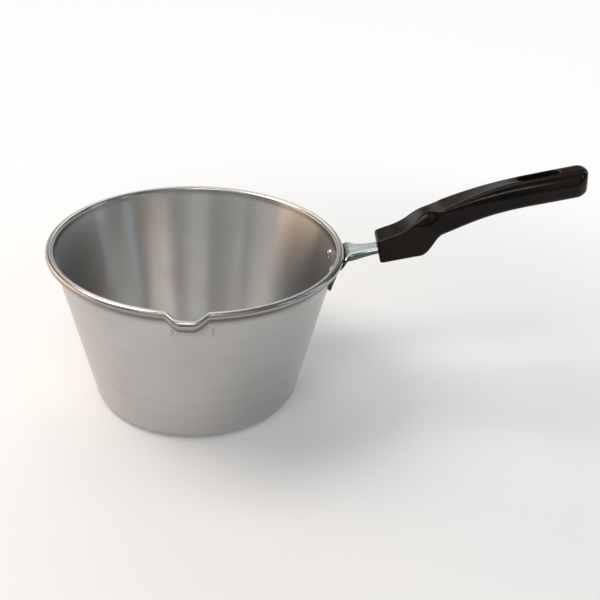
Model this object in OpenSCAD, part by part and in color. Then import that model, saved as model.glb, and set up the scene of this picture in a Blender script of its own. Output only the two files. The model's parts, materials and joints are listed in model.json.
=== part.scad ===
// Pouring saucepan for melting wax: a spun aluminium pan with a rolled rim and one pressed pouring lip,
// a pressed steel bracket riveted to the wall, and a moulded handle screwed onto the bracket.
// Millimetres. The base rests on z = 0, the handle runs towards +X and the lip faces -Y.

/* [Pan] */
// Diameter over the rolled rim
rim_d = 180; // [165:5:200]
// Height from the base to the top of the rim
pan_h = 102.5; // [85:2.5:120]
// Diameter of the wall's cone where it meets the base plane
base_d = 129.6; // [116:1.6:140]
// Outside radius of the base corner
corner_r = 8; // [5:1:14]
// Thickness of the spun sheet
sheet_t = 1.2; // [0.9:0.1:1.5]
// Outside diameter of the rolled rim
bead_d = 5; // [4.5:0.5:7]
// Gap between the end of the roll and the wall
curl_gap = 0.5; // [0.3:0.1:0.8]

/* [Pouring lip] */
// Angle between the lip and the handle
lip_angle = 89; // [60:1:120]
// Width of the lip between its two kinks
lip_w = 24.5; // [20:0.5:32]
// How far the lip reaches past the rim
lip_out = 5; // [3:0.2:7]
// How far the trough of the lip dips below the rim
lip_drop = 2.4; // [1.2:0.2:4]
// Depth of wall below the rim that is pressed out with the lip
lip_depth = 13; // [10:1:24]
// Share of the lip's width that is flat trough
lip_trough = 0.22; // [0.1:0.02:0.5]
// Share by which the roll is pressed taller in the trough
lip_flatten = 0.3; // [0:0.05:0.5]
// Steepness of the lip's sides, as a power: smaller is steeper at the kinks
lip_ease = 0.75; // [0.6:0.05:1]

/* [Bracket] */
// Thickness of the pressed steel
bracket_t = 1.5; // [1.2:0.1:1.8]
// Width of the plate on the wall
flange_w = 40; // [38:1:46]
// Height of the plate on the wall
flange_h = 18.5; // [16:0.5:22]
// Radius of the lower corners of the plate
flange_r = 7; // [4:1:9]
// Depth of the folded edges where the shank enters the handle
fold = 1.4; // [1:0.1:1.8]
// Depth of the folded edges at the foot of the shank
fold_root = 2.3; // [1.4:0.1:2.6]
// Depth of the folded edges beside the rim
fold_hook = 0.5; // [0.3:0.1:1]
// Depth of the folded edges at the foot of the plate
fold_foot = 0.4; // [0.3:0.1:0.8]
// Outside radius of the folds
fold_r = 2.1; // [1.9:0.1:2.4]
// Width of the shank where it enters the handle
shank_w = 12.6; // [11:0.2:14]
// Width of the bracket where it bends against the wall
root_w = 34; // [33:0.5:38]
// Width of the bracket beside the rim
hook_w = 27; // [24:0.5:32]
// Height over which the plate widens below its bend
shoulder_h = 5; // [3:0.5:7]
// Radius of the flare between the shank and the rim
flare_r = 26; // [22:1:32]
// Length of the straight-sided shank in front of the handle
neck_l = 3; // [1:0.5:6]
// Slope of the bracket under the rim
root_slope = 15; // [12:1:22]
// Slope of the bracket beside the rim
hook_slope = 66; // [58:1:70]
// Slope of the shank where it leaves the rim
foot_slope = 3; // [0:0.5:8]
// Slope of the shank where it enters the handle, and of the handle's front
shank_slope = 14.5; // [8:0.5:20]
// Distance from the rim to the handle
front_gap = 20.2; // [18:0.2:28]
// Height of the shank at the handle above the middle of the rolled rim
front_up = 3.7; // [2.5:0.1:5.5]
// Radius of the bend against the wall, at mid thickness
bend_r = 2.2; // [2.2:0.1:2.8]
// Radius of the bend at the foot of the shank, at mid thickness
kink_r = 3.6; // [3.4:0.1:6]
// Length of the shank inside the handle
tang_l = 23; // [21:1:26]
// Wall of the threaded collar on the underside of the shank
collar_t = 1.3; // [1:0.1:1.6]
// Gap between the bracket and the rolled rim
rim_gap = 0.5; // [0.4:0.1:1]
// Gap between the bracket and the wall
seat_gap = 0.15; // [0.12:0.01:0.3]

/* [Rivets] */
// Distance between the two rivets
rivet_pitch = 23.6; // [20:0.4:26]
// Distance of the rivets below the bend of the bracket
rivet_below = 4.6; // [4.6:0.2:7]
// Diameter of the rivet shank
rivet_d = 4; // [3:0.5:5]
// Diameter of both rivet heads
rivet_head_d = 6.4; // [5.4:0.2:6.4]
// Height of the inner, domed rivet head
rivet_dome = 1.9; // [1.2:0.1:2.4]
// Height of the outer, flatter rivet head
rivet_flat = 1.3; // [0.8:0.1:1.6]
// Gap round the rivet shank and under its heads
rivet_gap = 0.1; // [0.08:0.01:0.15]

/* [Handle] */
// Length of the handle along its front axis
handle_l = 130; // [118:1:150]
// How far the grip lies above the front block
rise = 19.2; // [14:0.4:24]
// Length over which the handle rises
rise_l = 94; // [80:1:108]
// Height of the front block
block_h = 14.6; // [13.6:0.2:18]
// Width of the front block
block_w = 19; // [18:0.5:22]
// Length of the front block up to the middle of the step
block_l = 32.5; // [30:0.5:40]
// Length of the step under the handle
step_l = 15; // [12:0.5:20]
// Thickness of the grip
grip_t = 15.6; // [15.2:0.2:18]
// Width of the grip at its end
grip_w = 22; // [20:0.5:26]
// Depth of the thumb scoop
scoop = 1.7; // [0:0.1:2.4]
// Distance from the front face to the middle of the thumb scoop
scoop_at = 15.4; // [12:0.2:18]
// Height of the crest behind the thumb scoop
crest = 2.1; // [0:0.1:3]
// Distance from the front face to the top of the crest
crest_at = 32; // [28:0.5:36]
// Length of the crest from foot to foot
crest_l = 23.5; // [20:0.5:30]
// Width of the cheeks that are cut into both upper edges beside the crest
cheek_w = 4; // [0:0.2:5]
// Depth of the cheeks
cheek_h = 8; // [0:0.5:9]
// Distance from the front face to the middle of the cheeks
cheek_at = 32.8; // [29:0.2:36]
// Length of the cheeks
cheek_l = 22; // [16:1:28]
// Share of a cheek that is flat
cheek_flat = 0.45; // [0:0.05:0.8]
// How far the underside of the grip bulges behind the step
belly = 1; // [0:0.1:1.6]
// Distance from the front face to the middle of this bulge
belly_at = 41; // [38:0.5:46]
// Length of this bulge
belly_l = 60; // [44:1:64]
// Radius of the upright edges at the front face
front_r = 2.6; // [1.6:0.2:2.8]
// Edge radius of the front block
block_edge = 1.6; // [1:0.2:2.4]
// Width of the rounding along each upper edge of the grip
crown_w = 8.5; // [5:0.5:9]
// Depth of the rounding along each upper edge of the grip
crown_h = 9; // [5:0.5:9.5]
// Edge radius of the underside of the grip
under_edge = 4.4; // [3:0.2:5.2]
// Distance from the front face to where the upper edges start to grow rounder
edge_at = 24; // [18:0.5:30]
// Length over which the upper edges grow rounder
edge_l = 66; // [50:1:72]
// Radius that rounds off the end of the grip
end_r = 4.4; // [3:0.2:5]
// How far the end of the grip leans in towards its underside
end_lean = 1.6; // [0:0.2:3]
// How far the end of the grip bulges between its two sides
end_crown = 5; // [2:0.5:7]
// How far the end of the grip bulges between its upper face and its underside
end_bow = 0.5; // [0:0.1:1.5]
// Length of the hanging slot
slot_l = 25; // [18:0.5:30]
// Width of the hanging slot
slot_w = 7; // [5:0.5:9]
// Distance from the middle of the hanging slot to the end of the grip
slot_from_end = 29; // [26:1:33]
// Width of the chamfer round the hanging slot
slot_chamfer = 0.8; // [0.4:0.1:1.2]
// Height of the shank's plate above the middle of the front block
tang_up = 0.6; // [0.2:0.1:0.9]
// Gap between the shank and its socket
socket_gap = 0.2; // [0.1:0.05:0.4]

/* [Handle screw] */
// Diameter of the handle screw
screw_d = 4; // [3:0.5:5]
// Distance of the screw behind the front face
screw_at = 15; // [12:0.5:17]
// Diameter of the screw head
screw_head_d = 7.6; // [7:0.2:8.4]
// Height of the screw head
screw_head_h = 2.2; // [1.8:0.1:2.6]
// Thickness of the split washer
washer_t = 0.9; // [0.7:0.1:1.1]
// Gap round the screw, the washer and the head
screw_gap = 0.1; // [0.05:0.05:0.2]
// Opening of the split washer
washer_split = 1; // [0.6:0.2:1.6]
// Height of the bevel round the screw head
head_bevel = 0.8; // [0.4:0.1:1]
// Length of the cross recess in the screw head
recess_l = 4.2; // [3.6:0.2:5]
// Width of the cross recess
recess_w = 1; // [0.8:0.1:1.2]
// Depth of the cross recess
recess_h = 1.3; // [1:0.1:1.5]
// Length of the screw that stands out above the shank's plate
screw_over = 1; // [0.5:0.1:1.5]

/* [Hidden] */
$fn = 64;
// A length that carries a cut clear through a face, and one for the slot through the curved grip
past = 1;
slot_past = 3;
// Colours of the aluminium, the plated steel, the moulding and the zinc
alu_tone = [0.66, 0.65, 0.64];
steel_tone = [0.54, 0.56, 0.55];
resin_tone = [0.09, 0.08, 0.07];
zinc_tone = [0.62, 0.61, 0.58];

// Section of the pan: the rolled rim is a ring round its middle, and the wall's line is tangent to it
roll_r = (bead_d - sheet_t) / 2;
roll_mid = [rim_d / 2 - bead_d / 2, pan_h - bead_d / 2];
roll_run = roll_mid - [base_d / 2, 0];
wall_tilt = atan2(roll_run.x, roll_run.y) - asin((roll_r - sheet_t / 2) / norm(roll_run));
wall_up = [sin(wall_tilt), cos(wall_tilt)];
wall_out = [cos(wall_tilt), -sin(wall_tilt)];
corner_mid = [base_d / 2 - corner_r * (1 - sin(wall_tilt)) / cos(wall_tilt), corner_r];
roll_turn = 360 - acos((roll_r - sheet_t / 2 - curl_gap) / (roll_r + sheet_t / 2));
corner_steps = 6;
wall_steps = 6;
roll_steps = 14;
lip_top = pan_h - bead_d;

// The quarter of the pan that carries the lip is a skin of sections, closest together across the lip
lip_mid = 315;
lip_half = lip_w / rim_d * 180 / PI;
lip_steps = 22;
side_steps = 5;
lip_angles = concat(
    [for (i = [0:side_steps - 1]) mix(270, lip_mid - lip_half, i / side_steps)],
    [for (i = [0:lip_steps]) lip_mid + lip_half * (2 * i / lip_steps - 1)],
    [for (i = [1:side_steps]) mix(lip_mid + lip_half, 360, i / side_steps)]
);

// Middle line of the bracket's sheet in the handle's plane: up the wall, round the rim, along the shank
root_dir = [cos(root_slope), sin(root_slope)];
root_up = [-sin(root_slope), cos(root_slope)];
hook_up = [-sin(hook_slope), cos(hook_slope)];
foot_up = [-sin(foot_slope), cos(foot_slope)];
shank_dir = [cos(shank_slope), sin(shank_slope)];
shank_up = [-sin(shank_slope), cos(shank_slope)];
plate_foot = [base_d / 2, 0] + wall_out * (seat_gap + bracket_t / 2);
hook_r = bead_d / 2 + rim_gap + bracket_t / 2;
bend_at = (-hook_r - (plate_foot - roll_mid) * root_up) / (wall_up * root_up);
bend_point = plate_foot + wall_up * bend_at;
bend_leg = bend_r * tan((90 - wall_tilt - root_slope) / 2);
bend_mid = bend_point + root_dir * bend_leg - root_up * bend_r;
kink_mid = roll_mid - hook_up * (hook_r + kink_r);
kink_point = kink_mid + foot_up * kink_r;
front_point = roll_mid + [bead_d / 2 + front_gap, front_up];
shank_span = front_point - kink_point;
shank_run = norm(shank_span);
foot_rise = shank_span.x * tan(foot_slope);
front_rise = shank_span.x * tan(shank_slope);
sheet_points = 5;

// Rivets: height along the wall and angle round the pan
rivet_run = bend_at - rivet_below;
rivet_foot = [base_d / 2, 0] + wall_up * rivet_run;
rivet_turn = asin(rivet_pitch / 2 / rivet_foot.x);
rivet_grip = seat_gap + bracket_t;

// Handle: front axis at the middle of the front block
axis_point = front_point - shank_up * tang_up;
slot_mid = handle_l - slot_from_end;
socket_top = tang_up + bracket_t / 2 + socket_gap;
socket_floor = tang_up - bracket_t / 2 - fold - socket_gap;
socket_size = [tang_l + socket_gap + past, shank_w + 2 * socket_gap, socket_top - socket_floor];
head_seat = -block_h / 2 + screw_head_h + washer_t + 2 * screw_gap;
screw_tip = tang_up + bracket_t / 2 + screw_over;
screw_hole_h = block_h / 2 + past + screw_tip + 2 * screw_gap;
screw_l = screw_tip - head_seat + washer_t + screw_head_h / 2;
edge_steps = 5;
face_steps = 4;
// Least edge radius where the handle draws in, and the share of it that the upper and lower faces take
least_edge = 0.5;
face_draw = 0.7;
// How quickly the cheeks turn flat from their ends, and how the sections spread behind the crest
cheek_rise = 3;
grip_spread = 1.4;
// Smaller sections that close the end of the handle
tip_shares = [0.6, 0.25];

function mix(a, b, k) = a + (b - a) * k;
function clamp01(k) = max(0, min(1, k));
function ease(k) = clamp01(k) * clamp01(k) * (3 - 2 * clamp01(k));
function bump(k) = abs(k) < 1 ? (1 + cos(180 * k)) / 2 : 0;
function polar(r, a) = [r * cos(a), r * sin(a)];
function turned(v) = [for (i = [len(v) - 1:-1:0]) v[i]];

// Sections joined into one skin: rings of equal length, in order
function skin_faces(rings, count) = [
    for (i = [0:rings - 2], j = [0:count - 1], half = [0, 1])
        let (a = i * count + j, b = i * count + (j + 1) % count)
        half == 0 ? [a, b, b + count] : [a, b + count, a + count]
];

// The two open ends of a skin whose rings run out along one face and back along the other
function strip_cap(start, count, flip) = [
    for (i = [0:count / 2 - 2], half = [0, 1])
        let (a = start + i, b = start + i + 1, c = start + count - 2 - i, d = start + count - 1 - i)
        let (f = half == 0 ? [a, b, c] : [a, c, d])
        flip ? turned(f) : f
];

// One face of the sheet at an offset from its middle, outwards on the wall and inwards on the roll
function corner_side(offset) = [
    for (i = [0:corner_steps])
        corner_mid + polar(corner_r - sheet_t / 2 + offset, mix(-90, -wall_tilt, i / corner_steps))
];
function wall_side(offset) = [
    for (i = [0:wall_steps])
        let (z = lip_top - lip_depth * (1 - i / wall_steps))
        [base_d / 2 + (offset - sheet_t / 2) / cos(wall_tilt) + z * tan(wall_tilt), z]
];
function roll_side(offset) = [
    for (i = [0:roll_steps])
        roll_mid + polar(roll_r - offset, 180 - wall_tilt - roll_turn * i / roll_steps)
];
function pan_side(offset) = concat(corner_side(offset), wall_side(offset), roll_side(offset));

// Share of the pressing across the lip: 0 at the kinks and beyond, 1 in the trough
function lip_share(a) =
    let (k = clamp01((1 - abs(a - lip_mid) / lip_half) / (1 - lip_trough)))
    pow(sin(90 * pow(k, lip_ease)), 2);

// Share of the pressing that the wall takes at a height, full at the rim
function depth_share(z) = ease((z - lip_top + lip_depth) / lip_depth);

// A point of the section turned to an angle, pressed out and down by its share
function pressed(p, share, a) =
    let (r = p.x + lip_out * share)
    [r * cos(a), r * sin(a), p.y - lip_drop * share];

// A point of the roll, drawn down where the lip makes the roll taller
function flattened(p, share) = [p.x, pan_h - (pan_h - p.y) * (1 + lip_flatten * share)];
function lip_side(a, offset) =
    let (lip = lip_share(a))
    concat(
        [for (p = corner_side(offset)) pressed(p, 0, a)],
        [for (p = wall_side(offset)) pressed(p, lip * depth_share(p.y), a)],
        [for (p = roll_side(offset)) pressed(flattened(p, lip), lip, a)]
    );
function lip_ring(a) = concat(lip_side(a, sheet_t / 2), turned(lip_side(a, -sheet_t / 2)));

// The quarter of the pan that carries the pouring lip
module lip_quarter() {
    rings = len(lip_angles);
    count = len(lip_ring(lip_mid));
    last = (rings - 1) * count;
    low = rings * count;
    top = low + 1;
    skin = [
        for (i = [0:rings - 2], j = [0:count - 2], half = [0, 1])
            let (a = i * count + j, b = a + 1)
            half == 0 ? [a, b, b + count] : [a, b + count, a + count]
    ];
    floors = [
        for (i = [0:rings - 2], side = [0, 1])
            let (a = i * count, b = a + count - 1)
            side == 0 ? [low, a, a + count] : [top, b + count, b]
    ];
    floor_ends = [
        [low, top, count - 1],
        [low, count - 1, 0],
        [low, last, last + count - 1],
        [low, last + count - 1, top]
    ];
    polyhedron(
        points = concat([for (a = lip_angles) each lip_ring(a)], [[0, 0, 0], [0, 0, sheet_t]]),
        faces = concat(
            skin,
            floors,
            floor_ends,
            strip_cap(0, count, true),
            strip_cap(last, count, false)
        ),
        convexity = 10
    );
}

// The other three quarters are one true revolve
module plain_quarters() {
    rotate_extrude(angle = 270, convexity = 10)
        polygon(concat(
            [[0, 0]],
            pan_side(sheet_t / 2),
            turned(pan_side(-sheet_t / 2)),
            [[0, sheet_t]]
        ));
}

// Places its children on the wall at a rivet, with +Z along the rivet and out of the wall
module at_rivets() {
    for (side = [-1, 1])
        rotate([0, 0, side * rivet_turn])
            translate([rivet_foot.x, 0, rivet_foot.y])
                rotate([0, 90 + wall_tilt, 0])
                    children();
}

module pan_body() {
    color(alu_tone)
        difference() {
            rotate([0, 0, 45 - lip_angle])
                union() {
                    plain_quarters();
                    lip_quarter();
                }
            at_rivets()
                translate([0, 0, -sheet_t - past])
                    cylinder(d = rivet_d + 2 * rivet_gap, h = sheet_t + 2 * past);
        }
}

// Half width of the bracket at a distance in front of the handle
function flare(d) =
    let (k = min(max(d - neck_l, 0), flare_r))
    min(hook_w / 2, shank_w / 2 + flare_r - sqrt(flare_r * flare_r - k * k));

// Half width of the plate at a height above its foot: round corners below, shoulders above
function plate_half(h) =
    let (k = max(0, flange_r - h), shoulder = ease((plate_high - plate_low - h) / shoulder_h))
    let (round_half = flange_w / 2 - flange_r + sqrt(flange_r * flange_r - k * k))
    min(round_half, mix(root_w / 2, flange_w / 2, shoulder));

// Rise and slope of the shank's middle line at a share of the way from the rim to the handle
function shank_rise(k) =
    k * (1 - k) * (1 - k) * foot_rise
    + k * k * (3 - 2 * k) * shank_span.y
    - k * k * (1 - k) * front_rise;
function shank_turn(k) =
    let (start = (1 - k) * (1 - 3 * k) * foot_rise, end = k * (3 * k - 2) * front_rise)
    atan2(start + 6 * k * (1 - k) * shank_span.y + end, shank_span.x);

// Stations of the bracket: point, direction, half width, depth of fold, share of the pan's curve.
// The folds leave room inside the bend against the wall and keep a least edge below their round,
// and beside the rim the sheet narrows sooner than it rises
plate_low = bend_at + bracket_t - flange_h;
plate_high = bend_at - bend_leg;
fold_room = 0.2;
fold_bend = min(fold, bend_r - bracket_t / 2 - fold_room);
edge_least = 0.05;
hook_curve = 0.8;
hook_draw = 1.6;
kink_curve = 0.5;
kink_run = shank_run + kink_r * (hook_slope - foot_slope) * PI / 180;
plate_cuts = concat(
    [for (k = [0.02, 0.1, 0.25, 0.45, 0.7, 1]) flange_r * k],
    [for (k = [0.3, 0.5, 0.7, 0.85]) mix(flange_r, plate_high - plate_low, k)]
);
plate_stations = [
    for (h = plate_cuts)
        [plate_foot + wall_up * (plate_low + h), 90 - wall_tilt, plate_half(h),
            mix(fold_foot, fold_bend, h / (plate_high - plate_low)), 1]
];
bend_stations = [
    for (k = [0:0.2:1])
        let (a = mix(90 - wall_tilt, root_slope, k))
        [bend_mid + polar(bend_r, a + 90), a, root_w / 2, fold_bend, 1]
];
hook_stations = [
    for (k = [0:0.25:1])
        let (a = mix(root_slope, hook_slope, k))
        [roll_mid + polar(hook_r, a - 90), a, mix(root_w / 2, flare(kink_run), ease(hook_draw * k)),
            mix(fold_bend, fold_hook, k), mix(1, hook_curve, k)]
];
kink_stations = [
    for (k = [0.2:0.2:1])
        let (a = mix(hook_slope, foot_slope, k))
        [kink_mid + polar(kink_r, a + 90), a, flare(mix(kink_run, shank_run, k)),
            mix(fold_hook, fold_root, k), mix(hook_curve, kink_curve, k)]
];
shank_stations = [
    for (k = [0.12, 0.24, 0.36, 0.48, 0.6, 0.75, 1])
        [kink_point + [shank_span.x * k, shank_rise(k)], shank_turn(k), flare(shank_run * (1 - k)),
            mix(fold_root, fold, ease(k)), kink_curve * (1 - ease(k))]
];
tang_stations = [
    for (k = [0.5, 1])
        [front_point + shank_dir * tang_l * k, shank_slope, shank_w / 2, fold, 0]
];
stations = concat(
    plate_stations,
    bend_stations,
    hook_stations,
    kink_stations,
    shank_stations,
    tang_stations
);

// One face of the folded sheet across the bracket: side, fold, flat, fold, side
function sheet_face(half, depth, inset) =
    let (outer = min(fold_r, bracket_t + depth - edge_least), r = outer - inset)
    let (low = -bracket_t / 2 - depth, y = half - outer, z = bracket_t / 2 - outer)
    let (left = [for (i = [0:4]) [-y, z] + polar(r, 180 - 22.5 * i)])
    let (flat = [for (i = [1:sheet_points]) [mix(-y, y, i / (sheet_points + 1)), z + r]])
    let (right = [for (i = [0:4]) [y, z] + polar(r, 90 - 22.5 * i)])
    concat([[-half + inset, low]], left, flat, right, [[half - inset, low]]);

// A point of the sheet placed at a station and bent round the pan by its share
function bracket_point(s, p) =
    let (up = [-sin(s[1]), cos(s[1])], q = s[0] + up * p.y)
    [mix(q.x, sqrt(q.x * q.x - p.x * p.x), s[4]), p.x, q.y];
function bracket_ring(s) =
    let (outer = sheet_face(s[2], s[3], 0), inner = sheet_face(s[2], s[3], bracket_t))
    [for (p = concat(outer, turned(inner))) bracket_point(s, p)];

module bracket_sheet() {
    count = len(bracket_ring(stations[0]));
    rings = len(stations);
    faces = concat(
        skin_faces(rings, count),
        strip_cap(0, count, true),
        strip_cap((rings - 1) * count, count, false)
    );
    polyhedron(points = [for (s = stations) each bracket_ring(s)], faces = faces, convexity = 10);
}

// Places its children in the handle's frame: +X along the front axis, +Z up from the handle
module in_handle() {
    translate([axis_point.x, 0, axis_point.y])
        rotate([0, -shank_slope, 0])
            children();
}

module handle_bracket() {
    color(steel_tone)
        difference() {
            union() {
                bracket_sheet();
                in_handle()
                    translate([screw_at, 0, tang_up - bracket_t / 2 - fold])
                        cylinder(d = screw_d + 2 * collar_t, h = fold + bracket_t / 2);
            }
            at_rivets()
                translate([0, 0, -past])
                    cylinder(d = rivet_d + 2 * rivet_gap, h = rivet_grip + 2 * past);
            in_handle()
                translate([screw_at, 0, tang_up - bracket_t - fold - past])
                    cylinder(d = screw_d + 2 * screw_gap, h = fold + 2 * bracket_t + 2 * past);
        }
}

// A rivet head as a cap of a ball, sitting on z = 0
module rivet_head(height) {
    half = rivet_head_d / 2;
    ball = (half * half + height * height) / (2 * height);
    rotate_extrude()
        intersection() {
            translate([0, height - ball])
                circle(r = ball);
            square([half, height]);
        }
}

module bracket_rivets() {
    color(alu_tone)
        at_rivets()
            union() {
                translate([0, 0, -sheet_t - 2 * rivet_gap])
                    cylinder(d = rivet_d, h = sheet_t + rivet_grip + 3 * rivet_gap);
                translate([0, 0, rivet_grip + rivet_gap])
                    rivet_head(rivet_flat);
                translate([0, 0, -sheet_t - rivet_gap])
                    mirror([0, 0, 1])
                        rivet_head(rivet_dome);
            }
}

// Side view of the handle: middle line, upper edge and lower edge at a distance along the front axis
function handle_mid(u) = rise * sin(90 * min(1, u / rise_l));
function handle_top(u) =
    handle_mid(u) + mix(block_h, grip_t, ease(u / rise_l)) / 2
    - scoop * bump((u - scoop_at) / scoop_at) + crest * bump((u - crest_at) / (crest_l / 2));
function past_step(u) = ease((u - block_l) / step_l + 0.5);
function under_side(u) = handle_mid(u) - grip_t / 2 - belly * bump((u - belly_at) / (belly_l / 2));
function handle_low(u) = mix(-block_h / 2, under_side(u), past_step(u));
function handle_half(u) = mix(block_w, grip_w, ease((u - block_l / 2) / (handle_l - block_l))) / 2;
function rounder(u) = ease((u - edge_at) / edge_l);
function cheek(u) = bump((u - cheek_at) / (cheek_l / 2));

// How far the sides and the other faces draw in where the front and the end are rounded
function draw_in(d, r) = d < r ? r - sqrt(r * r - (r - d) * (r - d)) : 0;
function side_inset(u) = draw_in(u, front_r) + draw_in(handle_l - u, end_r);
function face_inset(u) = face_draw * (draw_in(u, block_edge) + draw_in(handle_l - u, end_r));

handle_run_in = [for (k = [0, 0.15, 0.45]) front_r * k];
handle_run_out = [for (k = [0.6, 0.3, 0.1, 0.02]) handle_l - end_r * k];
handle_cuts = concat(
    handle_run_in,
    [for (i = [0:13]) mix(front_r, block_l - step_l / 2, i / 14)],
    [for (i = [0:11]) mix(block_l - step_l / 2, block_l + step_l / 2, i / 12)],
    [for (i = [0:15]) mix(block_l + step_l / 2, handle_l - end_r, pow(i / 15, grip_spread))],
    handle_run_out
);

// An edge of a section from the side to the flat face: part of an ellipse, and straight by a share
function edge_side(half, width, depth, straight) = [
    for (i = [0:edge_steps])
        let (s = cos(90 * i / edge_steps))
        [half - width * (1 - s), -depth * (straight * s + (1 - straight) * (1 - sqrt(1 - s * s)))]
];

// Half a section across the handle: side, edge, flat face, edge, side
function edge_run(half, width, depth, straight) =
    let (edge = edge_side(half, width, depth, straight))
    concat(
        edge,
        [for (i = [1:face_steps - 1]) [(half - width) * (1 - 2 * i / face_steps), 0]],
        [for (p = turned(edge)) [-p.x, p.y]]
    );

// How far a point of the end lies behind its tip
function end_back(y, z, top, low) =
    end_lean * (top - z) / grip_t
    + end_crown * pow(2 * y / grip_w, 2)
    + end_bow * pow((2 * z - top - low) / grip_t, 2);

// One rounded section across the handle, or a share of it drawn to its middle, bulging at the end
function handle_ring(u, share = 1) =
    let (inset = side_inset(u), half = handle_half(u) - inset)
    let (top = handle_top(u) - face_inset(u), low = handle_low(u) + face_inset(u))
    let (wide = max(least_edge, mix(block_edge, crown_w, rounder(u)) - inset))
    let (deep = max(least_edge, mix(block_edge, crown_h, rounder(u)) - inset))
    let (under = max(least_edge, mix(block_edge, under_edge, past_step(u)) - inset))
    let (bow = cheek(u), straight = cheek_flat * ease(cheek_rise * bow))
    let (top_run = edge_run(half, wide + cheek_w * bow, deep + cheek_h * bow, straight))
    let (low_run = turned(edge_run(half, under, under, 0)))
    let (upper = [for (p = top_run) [p.x, top + p.y]])
    let (lower = [for (p = low_run) [p.x, low - p.y]])
    let (near_end = ease((u - slot_mid) / (handle_l - slot_mid)))
    [
        for (p = concat(upper, lower))
            let (y = p.x * share, z = mix((top + low) / 2, p.y, share))
            [u - near_end * end_back(y, z, top, low), y, z]
    ];

module handle_blank() {
    count = len(handle_ring(0));
    tip_u = handle_cuts[len(handle_cuts) - 1];
    sections = concat(
        [for (u = handle_cuts) handle_ring(u)],
        [for (share = tip_shares) handle_ring(tip_u, share)]
    );
    rings = len(sections);
    faces = concat(
        skin_faces(rings, count),
        strip_cap(0, count, true),
        strip_cap((rings - 1) * count, count, false)
    );
    polyhedron(
        points = [for (ring = sections) each ring],
        faces = [for (f = faces) turned(f)],
        convexity = 10
    );
}

// A long hole with round ends, standing on z = 0
module long_hole(length, width, height) {
    translate([-(length - width) / 2, -width / 2, 0])
        cube([length - width, width, height]);
    for (side = [-1, 1])
        translate([side * (length - width) / 2, 0, 0])
            cylinder(d = width, h = height);
}

// A chamfer round the mouth of a long hole, widening upwards from z = 0
module long_chamfer(length, width, height) {
    hull()
        for (side = [-1, 1])
            translate([side * (length - width) / 2, 0, 0])
                cylinder(d1 = width, d2 = width + 2 * height, h = height, $fn = 32);
}

module handle_grip() {
    color(resin_tone)
        in_handle()
            difference() {
                handle_blank();
                translate([slot_mid, 0, handle_low(slot_mid) - slot_past])
                    long_hole(slot_l, slot_w, grip_t + 2 * slot_past);
                translate([slot_mid, 0, handle_top(slot_mid) - slot_chamfer])
                    long_chamfer(slot_l, slot_w, 2 * slot_chamfer);
                translate([slot_mid, 0, handle_low(slot_mid) + slot_chamfer])
                    mirror([0, 0, 1])
                        long_chamfer(slot_l, slot_w, 2 * slot_chamfer);
                translate([-past, -socket_size.y / 2, socket_floor])
                    cube(socket_size);
                translate([screw_at, 0, -block_h / 2 - past])
                    cylinder(d = screw_d + 4 * screw_gap, h = screw_hole_h);
                translate([screw_at, 0, -block_h / 2 - past])
                    cylinder(d = screw_head_d + 4 * screw_gap, h = head_seat + block_h / 2 + past);
            }
}

module handle_screw() {
    color(zinc_tone)
        in_handle()
            translate([screw_at, 0, head_seat - screw_gap - washer_t - screw_gap - screw_head_h])
                difference() {
                    union() {
                        cylinder(d1 = screw_head_d - 2 * head_bevel, d2 = screw_head_d, h = head_bevel);
                        translate([0, 0, head_bevel])
                            cylinder(d = screw_head_d, h = screw_head_h - head_bevel);
                        translate([0, 0, screw_head_h / 2])
                            cylinder(d = screw_d, h = screw_l);
                    }
                    for (turn = [0, 90])
                        rotate([0, 0, turn])
                            translate([-recess_l / 2, -recess_w / 2, -past])
                                cube([recess_l, recess_w, past + recess_h]);
                }
}

module screw_washer() {
    outer = screw_head_d / 2 - screw_gap;
    inner = screw_d / 2 + screw_gap;
    split = washer_split / outer * 180 / PI;
    color(zinc_tone)
        in_handle()
            translate([screw_at, 0, head_seat - screw_gap - washer_t])
                rotate_extrude(angle = 360 - split)
                    translate([inner, 0])
                        square([outer - inner, washer_t]);
}

pan_body();
handle_bracket();
bracket_rivets();
handle_grip();
handle_screw();
screw_washer();
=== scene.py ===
import json
import math
from functools import partial
import bmesh
import bpy
from mathutils import Matrix, Vector


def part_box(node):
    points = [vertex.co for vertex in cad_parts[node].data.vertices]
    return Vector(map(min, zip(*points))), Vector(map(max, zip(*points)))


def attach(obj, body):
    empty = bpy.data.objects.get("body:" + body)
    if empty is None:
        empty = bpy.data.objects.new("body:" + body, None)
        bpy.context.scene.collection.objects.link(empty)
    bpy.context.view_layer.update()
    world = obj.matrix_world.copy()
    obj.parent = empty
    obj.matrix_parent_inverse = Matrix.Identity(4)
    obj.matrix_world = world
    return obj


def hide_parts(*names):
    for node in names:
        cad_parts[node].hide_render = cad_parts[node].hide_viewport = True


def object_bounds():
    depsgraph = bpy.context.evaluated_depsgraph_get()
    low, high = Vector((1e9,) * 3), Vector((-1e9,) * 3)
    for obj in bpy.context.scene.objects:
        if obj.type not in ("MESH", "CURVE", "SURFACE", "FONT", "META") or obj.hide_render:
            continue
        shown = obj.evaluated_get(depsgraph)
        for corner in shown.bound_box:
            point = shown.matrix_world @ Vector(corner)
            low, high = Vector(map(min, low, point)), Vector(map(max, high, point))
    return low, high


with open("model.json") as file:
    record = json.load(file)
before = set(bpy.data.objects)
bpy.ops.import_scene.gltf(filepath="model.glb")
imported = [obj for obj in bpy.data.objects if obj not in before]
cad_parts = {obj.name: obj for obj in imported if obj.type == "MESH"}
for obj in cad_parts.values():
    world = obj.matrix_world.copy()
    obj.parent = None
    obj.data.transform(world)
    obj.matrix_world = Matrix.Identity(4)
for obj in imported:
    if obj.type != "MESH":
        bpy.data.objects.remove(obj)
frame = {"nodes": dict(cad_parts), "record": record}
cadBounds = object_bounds()
scene = bpy.context.scene
mm = 0.001
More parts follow.
